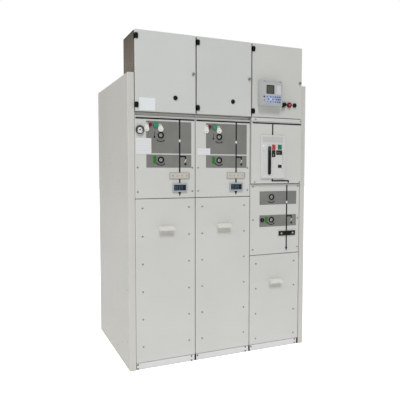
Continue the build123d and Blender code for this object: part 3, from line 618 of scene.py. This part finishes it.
# Selector and push buttons beside the relay: a long-handled selector over a round legend plate,
# a red mushroom button with a pale pink ring on its top that is a painted highlight, and a black
# flush button, all of moulded plastic.
dress("selector_ring", plug_black)
soften(dress("selector_knob", plug_black), 0.0012)
knob_x = 468
legend_grey = moulded("legend_grey", (186, 187, 186), 0.35, 800, 0.00002)
legend = bmesh.new()
turned(legend, knob_x, button_z, door_face,
       ((27, 0), (27, 0.9), (26.6, 1.2), (15.5, 1.2), (15.5, 0)), 56, hoop=True)
finished_piece("legend_plate", legend, legend_grey, "right_door")


def arc_band(shape, x, z, radius, width, start, end, back, face, steps=18):
    """A flat curved band about a centre, between two angles in degrees."""
    angles = [radians(start + (end - start) * i / steps) for i in range(steps + 1)]
    outer = [(x + (radius + width / 2) * cos(a), z + (radius + width / 2) * sin(a)) for a in angles]
    inner = [(x + (radius - width / 2) * cos(a), z + (radius - width / 2) * sin(a))
             for a in reversed(angles)]
    points = outer + inner if end > start else [*reversed(outer), *reversed(inner)]
    skin(shape, [level_ring(points, back), level_ring(points, face)])


mark_black = moulded("mark_black", (16, 16, 16), 0.55, 700, 0.00002, shine=0.2)
marks_reach = 22.5
legend_marks = bmesh.new()
for start, end in ((20, 88), (252, 330)):
    arc_band(legend_marks, knob_x, button_z, marks_reach, 2.2, start, end,
             door_face - 1.1, door_face - 1.35)
for angle in (48, 138, 222):
    turned(legend_marks, knob_x + marks_reach * cos(radians(angle)),
           button_z + marks_reach * sin(radians(angle)), door_face, ((2, 1.1), (2, 1.4)), 14)
finished_piece("legend_marks", legend_marks, mark_black, "right_door")

red_plastic = moulded("button_red", (120, 16, 32), 0.36, 1200, 0.00002, shine=0.3)
red_button_x, black_button_x = 515, 562
red_button = bmesh.new()
turned(red_button, red_button_x, button_z, door_face,
       ((18.4, 0), (18.6, 7), (18.6, 10), (17.4, 12.4), (14, 13.6), (7.6, 14)), 48)
finished_piece("red_button", red_button, red_plastic, "right_door")
# Painted highlight: a pale pink ring on the top of the red button.
pink_painted_highlight = moulded("button_ring", (206, 138, 146), 0.3, 900, 0.00002)
red_button_highlight = bmesh.new()
turned(red_button_highlight, red_button_x, button_z, door_face,
       ((7.2, 13.6), (6.9, 14.5), (4.6, 14.5), (4.3, 13.8)), 40, hoop=True)
finished_piece("red_button_ring", red_button_highlight, pink_painted_highlight, "right_door")
black_button = bmesh.new()
turned(black_button, black_button_x, button_z, door_face,
       ((15.4, 0), (15.4, 6.6), (14.6, 8.6), (12.4, 8.8), (11.8, 8.2), (2, 7.9)), 40)
finished_piece("black_button", black_button, plug_black, "right_door")

# Strips under the doors: set back behind a ledge on the switch bays, proud and screwed on the
# breaker bay, all powder coated as the covers.
dress("cover_strips", cover_paint)
front_screws("strip_screws", [(241, 1667), (619, 1667)], door_face, 4)

# Mechanism covers and the breaker bay's two covers: folded sheet pans screwed on at their corners,
# powder coated. Thin black strips in the seams between the bays, and black plates in the wider gaps
# between the plinth strips at the foot, are painted shade standing in for the shade in those gaps.
for node_name in ("mechanism_cover_1", "mechanism_cover_2", "breaker_cover", "lower_cover"):
    dress(node_name, cover_paint)
front_screws("mechanism_screws", [(left + x, z) for left in bay_lefts[:2] for x in (20, 398)
                                  for z in (1327, 1170)], front)
front_screws("breaker_screws", [(237, 1226), (612, 1224)], door_face, 4)
front_screws("lower_cover_screws", [(210 + x, z) for x in (25, 403) for z in (1193, 955, 741)],
             front)
# Painted shade: thin black strips set in the upright seams between the bays.
seam_shade_strips = bmesh.new()
for seam_x in (-630, -210, 210, 630):
    plate(seam_shade_strips, outline(seam_x - 1.6, seam_x + 1.6, 48, 1648), -436, -447, 0.3)
finished_piece("seam_shade_strips", seam_shade_strips, black_rubber_and_seam_shade)
# Painted shade: black plates set in the gaps between the plinth strips.
plinth_gap_shade = bmesh.new()
for slot_x in (-211, 209, 621):
    plate(plinth_gap_shade, outline(slot_x - 6, slot_x + 6, 5, 46, 1), front, front - 0.5, 0.1)
finished_piece("plinth_gap_shade", plinth_gap_shade, hinge_black)

# Diagram fields: printed grey film stuck to each cover behind its diagram, satin, with a faint
# weave.
field_film, shader, place = new_finish("field_film")
weave = grain(place, 1100, 2)
tint(grain(place, 12, 5), shade(115, 115, 112), shade(123, 123, 119), shader.inputs["Base Color"])
spread(weave, 0.42, 0.56, shader.inputs["Roughness"])
relief(weave, 0.00003, shader)
dress("diagram_fields", field_film)

# Diagram lines: raised black strips stuck to the covers, with white dots at the switches, a white
# switch mark and a round earth mark on each branch, and curved arrows round the lever seats.
line_black = moulded("line_black", (18, 18, 17), 0.55, 900, 0.00003, 0.85, 0.2)
dress("diagram_lines", line_black)
mark_white = moulded("mark_white", (232, 232, 228), 0.4, 900, 0.00002, 0.98)
white_marks = bmesh.new()
black_marks = bmesh.new()
film_face = front - 1
seat_reach = 176
seat_levels = ((-630, 1537, 1378), (-210, 1537, 1378), (210, 1117, 952))
for (left, upper_z, lower_z), dot_drop in zip(seat_levels, (33, 33, 40)):
    main_x, dot_z = left + 307, upper_z - dot_drop
    turned(white_marks, main_x, dot_z, film_face,
           ((6.8, 0), (6.8, 1), (6.2, 1.4), (3.6, 1.4), (3.4, 0.8)), 32)
    turned(black_marks, main_x, dot_z, film_face, ((1.8, 0.4), (1.6, 1.1)), 20)
    mark_x = left + 348
    plate(white_marks, [(mark_x - 7, lower_z - 17), (mark_x - 3.4, lower_z - 17),
                        (mark_x + 7, lower_z + 3), (mark_x + 3.6, lower_z + 4)],
          film_face, film_face - 0.8, 0.2)
    turned(black_marks, mark_x, lower_z - 28, film_face,
           ((8, 0), (8, 0.9), (7.4, 1.2), (5.2, 1.2)), 28)
    for level, width in ((lower_z - 26.2, 4.4), (lower_z - 28, 3), (lower_z - 29.8, 1.6)):
        plate(white_marks, outline(mark_x - width / 2, mark_x + width / 2, level - 0.25,
                                   level + 0.25), film_face - 1, film_face - 1.4, 0.1)
    plate(black_marks, outline(mark_x - 1.6, mark_x + 1.6, lower_z - 21, lower_z - 16), film_face,
          film_face - 1, 0.2)
    for seat_z, reach, start, end in ((upper_z, 41, 238, 300), (lower_z, 36, 222, 308)):
        seat_x = left + seat_reach
        arc_band(black_marks, seat_x, seat_z, reach, 5.2, start, end, film_face, film_face - 0.5)
        for angle, way in ((start, -1), (end, 1)):
            tip = radians(angle + way * 12)
            base = radians(angle)
            head = [(seat_x + far * cos(turn), seat_z + far * sin(turn))
                    for far, turn in ((reach, tip), (reach + 6, base), (reach - 6, base))]
            plate(black_marks, head if way < 0 else head[::-1], film_face, film_face - 0.5, 0.1)
    if left < 0:
        key_x, key_z = left + 133, 1524
        turned(black_marks, key_x, key_z, film_face,
               ((6, 0), (6, 1.2), (5.2, 1.6), (3, 1.6), (2.8, 0.6)), 24)
        plate(black_marks, outline(key_x, key_x + 3.4, key_z + 7, key_z + 36, 1), film_face,
              film_face - 0.6, 0.2)
finished_piece("white_marks", white_marks, mark_white)
finished_piece("black_marks", black_marks, mark_black)

# Lever seats: black collars that guide the operating levers, each with a bright steel bush round
# the hexagonal end of its shaft.
seat_black = moulded("seat_black", (12, 12, 12), 0.45, 1200, 0.00003, 0.8, 0.25)
dress("lever_seats", seat_black)
shaft_steel = metal("shaft_steel", (900, 2), (196, 196, 192), (226, 226, 222), (0.3, 0.42), 0.35,
                    0.00003)
dress("drive_shafts", shaft_steel)
collar_caps, bushes = bmesh.new(), bmesh.new()
for left, *levels in seat_levels:
    for seat_z in levels:
        turned(collar_caps, left + seat_reach, seat_z, front,
               ((20.25, 0.5), (20.25, 8), (19.4, 9.2), (14.2, 9.2), (13.4, 8.4), (13, -2),
                (13, -12)), 48, hoop=True)
        turned(bushes, left + seat_reach, seat_z, front,
               ((11.5, -11), (11.5, 1.6), (10.8, 2.2), (7.2, 2.2), (7, 1), (7, -11)), hoop=True)
finished_piece("seat_collars", collar_caps, seat_black)
finished_piece("seat_bushes", bushes, shaft_steel)

# Pressure gauge and voltage displays: a round gauge with a black case and a white dial under
# glass on the first bay, and a dark panel with pale segments in a grey frame on each switch bay.
gauge_black = moulded("gauge_black", (44, 45, 46), 0.3, 1000, 0.00003, 0.85)
display_grey = moulded("display_grey", (166, 170, 173), 0.42, 1200, 0.00003)
instruments = dress("front_instruments", display_grey)
instruments.data.materials.append(gauge_black)
gauge_foot = 1.5
for face in instruments.data.polygons:
    face.material_index = 1 if face.center.z > gauge_foot else 0
gauge_x, gauge_z = -595, 1568
gauge_case = bmesh.new()
turned(gauge_case, gauge_x, gauge_z, front,
       ((27.3, 0.2), (27.3, 12), (26.6, 14.4), (25.2, 15.4), (23.6, 15.4), (22.6, 14.6),
        (22.4, 10.4)), 56)
finished_piece("gauge_case", gauge_case, gauge_black)
dial_white = moulded("dial_white", (228, 229, 226), 0.4, 500, 0.00001, 0.985)
dial = bmesh.new()
turned(dial, gauge_x, gauge_z, front, ((22.3, 10.5), (22.2, 10.9)), 48)
finished_piece("gauge_dial", dial, dial_white)
dial_marks = bmesh.new()
for step in range(13):
    angle = radians(225 - step * 22.5)
    ax, az = cos(angle), sin(angle)
    inner, half = (11.5, 0.55) if step % 3 == 0 else (13, 0.35)
    corners = [(gauge_x + far * ax + half * side * az, gauge_z + far * az - half * side * ax)
               for far, side in ((inner, 1), (15, 1), (15, -1), (inner, -1))]
    plate(dial_marks, corners, front - 10.85, front - 11.1, 0.03)
arc_band(dial_marks, gauge_x, gauge_z, 18.4, 5.6, 214, -34, front - 10.85, front - 11.05, 30)
needle = radians(38)
plate(dial_marks, [(gauge_x + 16 * cos(needle), gauge_z + 16 * sin(needle)),
                   (gauge_x - 6 * cos(needle) - 2 * sin(needle),
                    gauge_z - 6 * sin(needle) + 2 * cos(needle)),
                   (gauge_x - 6 * cos(needle) + 2 * sin(needle),
                    gauge_z - 6 * sin(needle) - 2 * cos(needle))], front - 11.3, front - 11.9, 0.1)
turned(dial_marks, gauge_x, gauge_z, front, ((5, 11), (5, 12.2), (4, 12.8), (1, 12.9)), 24)
finished_piece("gauge_marks", dial_marks, mark_black)

panel_dark = moulded("panel_dark", (15, 21, 31), 0.3, 200, 0.000002, 0.9, 0.3)
panel_blue = moulded("panel_blue", (60, 88, 106), 0.35, 400, 0.00001, shine=0.3)
panels, segments = bmesh.new(), bmesh.new()
for left in bay_lefts[:2]:
    plate(panels, outline(left + 264.2, left + 348.8, 1176.2, 1213.8, 1), front - 6.9,
          front - 8.2, 0.3)
    for start_x, width in ((270, 9), (282, 9), (297, 12), (314, 5), (322, 5)):
        for row in range(3):
            base = 1181 + row * 10.5
            plate(segments, outline(left + start_x, left + start_x + width, base, base + 7, 0.8),
                  front - 8.1, front - 8.4, 0.1)
finished_piece("display_panels", panels, panel_dark)
finished_piece("display_segments", segments, panel_blue)

# Push buttons and flaps of the switch bays: a red and a green button, each with a white
# drop-shaped flap that swings over it and takes a padlock. Moulded plastic.
button_green = moulded("button_green", (52, 136, 110), 0.28, 1200, 0.00002)
red_push, green_push, push_rims = bmesh.new(), bmesh.new(), bmesh.new()
for left in bay_lefts[:2]:
    for shape, x, z, radius in ((red_push, left + 104, 1603, 11),
                                (green_push, left + 142, 1602, 17)):
        turned(shape, x, z, front,
               ((radius + 0.3, 1), (radius + 0.3, 8.6), (radius - 0.6, 10.2), (radius - 2.2, 10.6),
                (radius - radius * 0.5, 10.1), (radius - radius * 0.9, 9.9)), 44)
        turned(push_rims, x, z, front,
               ((radius + 2.4, 1), (radius + 2.4, 2.6), (radius + 1.6, 3.2), (radius + 0.4, 3.2),
                (radius + 0.3, 1.2)), 44)
for name, shape, finish, slot in (
        ("red_push_buttons", red_push, red_plastic, "red_plastic"),
        ("green_push_buttons", green_push, button_green, "green_plastic")):
    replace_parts(finished_piece(name, shape, finish), "front_controls")
rim_grey = moulded("rim_grey", (92, 92, 90), 0.4, 1000, 0.00003)
finished_piece("push_button_rims", push_rims, rim_grey)

flap_white = moulded("flap_white", (226, 226, 220), 0.4, 1200, 0.00003, 0.96)
dress("button_flaps", flap_white)


def drop(low_x, low_z, low_radius, high_x, high_z, high_radius, points=20):
    """The outline of a taut band round two discs, the larger one below."""
    length = hypot(high_x - low_x, high_z - low_z)
    lean = atan2(high_z - low_z, high_x - low_x)
    touch = acos((low_radius - high_radius) / length)
    high = [lean - touch + 2 * touch * i / points for i in range(points + 1)]
    low = [lean + touch + (2 * pi - 2 * touch) * i / points for i in range(points + 1)]
    return ([(high_x + high_radius * cos(a), high_z + high_radius * sin(a)) for a in high]
            + [(low_x + low_radius * cos(a), low_z + low_radius * sin(a)) for a in low])


flaps, flap_pins = bmesh.new(), bmesh.new()
for left in bay_lefts[:2]:
    for low_x, low_z, low_radius, high_x, high_z in ((80, 1576, 17, 84, 1606),
                                                     (176, 1577, 18, 170, 1602)):
        around = drop(left + low_x, low_z, low_radius + 0.3, left + high_x, high_z, 8 + 0.3)
        stepped(flaps, around, front, ((0, 1), (0, 4.6), (0.9, 5.4), (2.6, 5.4), (3.2, 4.9)))
        turned(flap_pins, left + high_x, high_z, front,
               ((4.2, 4.6), (4.2, 6.4), (3.4, 7), (1.8, 7), (1.6, 6.2)), 24)
        turned(flap_pins, left + low_x, low_z - 6, front, ((3.4, 4.6), (3.2, 5.3)), 24)
finished_piece("flap_plates", flaps, flap_white)
flap_grey = moulded("flap_grey", (150, 148, 142), 0.4, 1000, 0.00003)
finished_piece("flap_pins", flap_pins, flap_grey)

# Position indicators: oblong green windows beside the lower lever seats, each in a raised frame of
# the same moulded plastic, and the black windows of the breaker's plate.
indicator_green = moulded("indicator_green", (36, 124, 30), 0.3, 700, 0.00002, 0.88, 0.3)
windows = dress("position_indicators", indicator_green)
windows.data.materials.append(screen_black)
breaker_windows_back = -0.4599
for face in windows.data.polygons:
    face.material_index = 1 if face.center.y < breaker_windows_back else 0
indicator_frames = bmesh.new()
for centre_x, centre_z in ((-496, 1378), (-76, 1378), (344, 952)):
    oblong = outline(centre_x - 9.6, centre_x + 9.6, centre_z - 24.1, centre_z + 24.1, 9.5, 10)
    stepped(indicator_frames, oblong, front,
            ((0, 1), (0, 4.2), (0.8, 4.9), (2, 4.9), (2.3, 4.1)))
finished_piece("indicator_frames", indicator_frames, indicator_green)

# Voltage test strips: moulded strips, two cream and one black, with four sockets for the test
# plugs. Each socket is a low collar with a grey liner; the middle two on the black strip are
# black all through.
socket_cream = moulded("socket_cream", (194, 190, 180), 0.45, 1100, 0.00003, 0.96, 0.3)
socket_strips = dress("voltage_sockets", socket_cream)
socket_strips.data.materials.append(seat_black)
black_strip_top = 1
for face in socket_strips.data.polygons:
    face.material_index = 1 if face.center.z < black_strip_top else 0
socket_collars, socket_liners = bmesh.new(), bmesh.new()
for middle_x, middle_z, half in ((-325, 1274, 20), (95, 1274, 20), (520, 848.5, 16.5)):
    edge = outline(middle_x - 70, middle_x + 70, middle_z - half, middle_z + half, 1)
    stepped(socket_liners, edge, front, ((0, 5.6), (0, 6.6), (2, 6.6), (2, 5.6)), hoop=True)
    for x in (-48, -16, 16, 48):
        turned(socket_collars, middle_x + x, middle_z, front,
               ((7, 6), (7, 7), (6.4, 7.6), (4.7, 7.6), (4.3, 6.2)), 28)
        turned(socket_liners, middle_x + x, middle_z, front,
               ((4.1, 3.2), (4.1, 6.9), (2.6, 6.9), (2.4, 4)), 20)
    plate(socket_liners, outline(middle_x + 62, middle_x + 66, middle_z - half * 0.7,
                                 middle_z + half * 0.7, 1), front - 6, front - 6.8, 0.2)
collar_piece = finished_piece("socket_collars", socket_collars, socket_cream)
liner_grey = moulded("liner_grey", (146, 141, 131), 0.45, 1000, 0.00003)
liner_piece = finished_piece("socket_liners", socket_liners, liner_grey)
black_strip_middle, end_socket_reach, socket_radius = 0.52, 0.048, 0.0075
for piece in (collar_piece, liner_piece):
    piece.data.materials.append(seat_black)
    for face in piece.data.polygons:
        from_end_socket = abs(abs(face.center.x - black_strip_middle) - end_socket_reach)
        if face.center.z < black_strip_top and from_end_socket > socket_radius:
            face.material_index = 1

# Writing labels: bare white plastic plates beside the diagram of the switch bays, stuck on, with
# faint ruled lines to write on.
label_white = moulded("label_white", (219, 220, 221), 0.45, 900, 0.00001, 0.985)
label_ink = moulded("label_ink", (170, 171, 180), 0.5, 900, 0.00001)
labels, rules = bmesh.new(), bmesh.new()
for left, right, bottom, top, count in ((-619, -518, 1413, 1516, 6), (-195, -101, 1413, 1458, 2)):
    plate(labels, outline(left, right, bottom, top, 2), front - 0.6, front - 1.7, 0.2)
    for row in range(count):
        rule_z = top - 16 - row * (top - bottom - 22) / max(count - 1, 1)
        plate(rules, outline(left + 8, right - 10, rule_z, rule_z + 0.8), front - 1.6,
              front - 1.8, 0.05)
finished_piece("writing_labels", labels, label_white)
finished_piece("label_rules", rules, label_ink)

# Breaker front plate: a light moulded plate with the folded charging lever in its track, a red
# and a green push button, dark windows and two pale caps. A grey band crosses its top, and small
# coloured marks are printed at its right.
plate_grey = moulded("plate_grey", (206, 206, 204), 0.4, 1200, 0.00003, 0.97)
dress("breaker_plate", plate_grey)
plate_face = door_face - 12
lever_black = moulded("lever_black", (16, 18, 17), 0.42, 1200, 0.00004, 0.8, 0.3)
soften(dress("charging_lever", lever_black), 0.0018)
lever_tip = bmesh.new()
tip_round = outline(337.3, 358.7, 1446, 1480.8, 10.6, 10)
stepped(lever_tip, tip_round, plate_face, ((0, -7), (0, 6.6), (1.8, 8.3)))
lever_green = moulded("lever_green", (30, 74, 58), 0.3, 1200, 0.00003)
finished_piece("lever_tip", lever_tip, lever_green)
lever_grip = bmesh.new()
for row in range(9):
    base = 1296 + row * 15
    plate(lever_grip, outline(341, 355, base, base + 5, 2), plate_face - 7.6, plate_face - 8.9, 0.5)
finished_piece("lever_ribs", lever_grip, lever_black)
breaker_red, breaker_green = bmesh.new(), bmesh.new()
for shape, left, right, bottom, top in ((breaker_red, 371, 396, 1456, 1492),
                                        (breaker_green, 418, 449, 1459, 1492)):
    edge = outline(left - 0.2, right + 0.2, bottom - 0.2, top + 0.2, 3)
    stepped(shape, edge, plate_face, ((0, -6), (0, 4.2), (1.3, 5.4), (5, 5.4), (6, 4.8)))
breaker_red_plastic = moulded("breaker_red", (196, 62, 66), 0.3, 1200, 0.00002)
breaker_green_plastic = moulded("breaker_green", (48, 122, 90), 0.3, 1200, 0.00002)
for name, shape, finish, slot in (
        ("breaker_red_button", breaker_red, breaker_red_plastic, "red_plastic"),
        ("breaker_green_button", breaker_green, breaker_green_plastic, "green_plastic")):
    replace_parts(finished_piece(name, shape, finish), "front_controls")
window_frames, window_signs = bmesh.new(), bmesh.new()
for left, right, bottom, top in ((370, 396, 1406, 1450), (406, 452, 1422, 1450),
                                 (422, 449, 1329, 1347)):
    edge = outline(left - 2, right + 2, bottom - 2, top + 2, 2)
    stepped(window_frames, edge, plate_face, ((0, 0), (0, 1.1), (2, 1.1), (2.4, -0.6)), hoop=True)
plate(window_signs, outline(380, 386, 1411, 1424, 1), plate_face + 0.9, plate_face + 0.4, 0.1)
for x in (412, 421, 430):
    plate(window_signs, outline(x, x + 4, 1432, 1438, 1), plate_face + 0.9, plate_face + 0.4, 0.1)
finished_piece("window_frames", window_frames, screen_black)
sign_rose = moulded("sign_rose", (150, 122, 128), 0.4, 900, 0.00001)
finished_piece("window_signs", window_signs, sign_rose)
plate_trim = bmesh.new()
for x, z, radius in ((300, 1484, 8), (318, 1266, 4)):
    turned(plate_trim, x, z, plate_face,
           ((radius, 0), (radius, 0.8), (radius * 0.8, 1.2), (radius * 0.5, 1.2),
            (radius * 0.45, 0.2)), 24)
finished_piece("plate_trim", plate_trim, mark_white)
plate_band = bmesh.new()
plate(plate_band, outline(293, 462, 1508, 1548, 4), plate_face, plate_face - 0.5, 0.2)
band_grey = moulded("band_grey", (190, 191, 188), 0.45, 900, 0.00002, 0.97)
finished_piece("plate_band", plate_band, band_grey)
plate_marks = bmesh.new()
for row in range(6):
    base = 1356 + row * 15
    plate(plate_marks, outline(458, 464, base, base + 7, 0.6), plate_face, plate_face - 0.3, 0.1)
for x, z in ((303, 1446), (318, 1258)):
    turned(plate_marks, x, z, plate_face, ((2.6, 0), (2.6, 0.4)), 16)
marks_teal = moulded("marks_teal", (116, 126, 122), 0.5, 900, 0.00001)
finished_piece("plate_marks", plate_marks, marks_teal)
plate_signs = bmesh.new()
for x, z, half in ((455, 1322, 3), (465, 1322, 3), (460, 1304, 6)):
    plate(plate_signs, outline(x - half, x + half, z - 3, z + 3, 2), plate_face,
          plate_face - 0.3, 0.1)
sign_pink = moulded("sign_pink", (224, 160, 166), 0.5, 900, 0.00001)
finished_piece("plate_signs", plate_signs, sign_pink)

# Key lock beside the lower lever seat of the breaker bay: a round black lock fixed in the cover,
# with a pale keyway.
key_lock, keyway = bmesh.new(), bmesh.new()
turned(key_lock, 309, 952, front,
       ((14.6, 1), (14.6, 4), (13.8, 5), (13.8, 10.6), (13, 11.6), (9.2, 11.6), (8.8, 11.1),
        (2, 11.1)), 44)
plate(keyway, outline(308, 310, 946, 958, 0.8), front - 10.9, front - 11.4, 0.1)
lock_piece = finished_piece("key_lock", key_lock, seat_black)
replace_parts(lock_piece, "front_controls")
finished_piece("keyway", keyway, liner_grey)

# Cable covers: tall plain pans of folded sheet, screwed on down both sides and powder coated as
# the other covers.
for number in (1, 2, 3):
    dress(f"cable_cover_{number}", cover_paint)
cover_screw_places = [(left + x, z) for left in bay_lefts[:2] for x in (50, 373)
                      for z in (1064, 881, 699, 516, 334, 151)]
cover_screw_places += [(210 + x, z) for x in (52, 375) for z in (638, 456, 272, 90)]
front_screws("cable_cover_screws", cover_screw_places, front)

# Cover grips: hooded white pulls moulded in plastic and open below for the fingers, one on each
# cable cover.
grip_white = moulded("grip_white", (214, 213, 206), 0.4, 1200, 0.00003, 0.96)
soften(dress("cover_grips", grip_white), 0.0012)
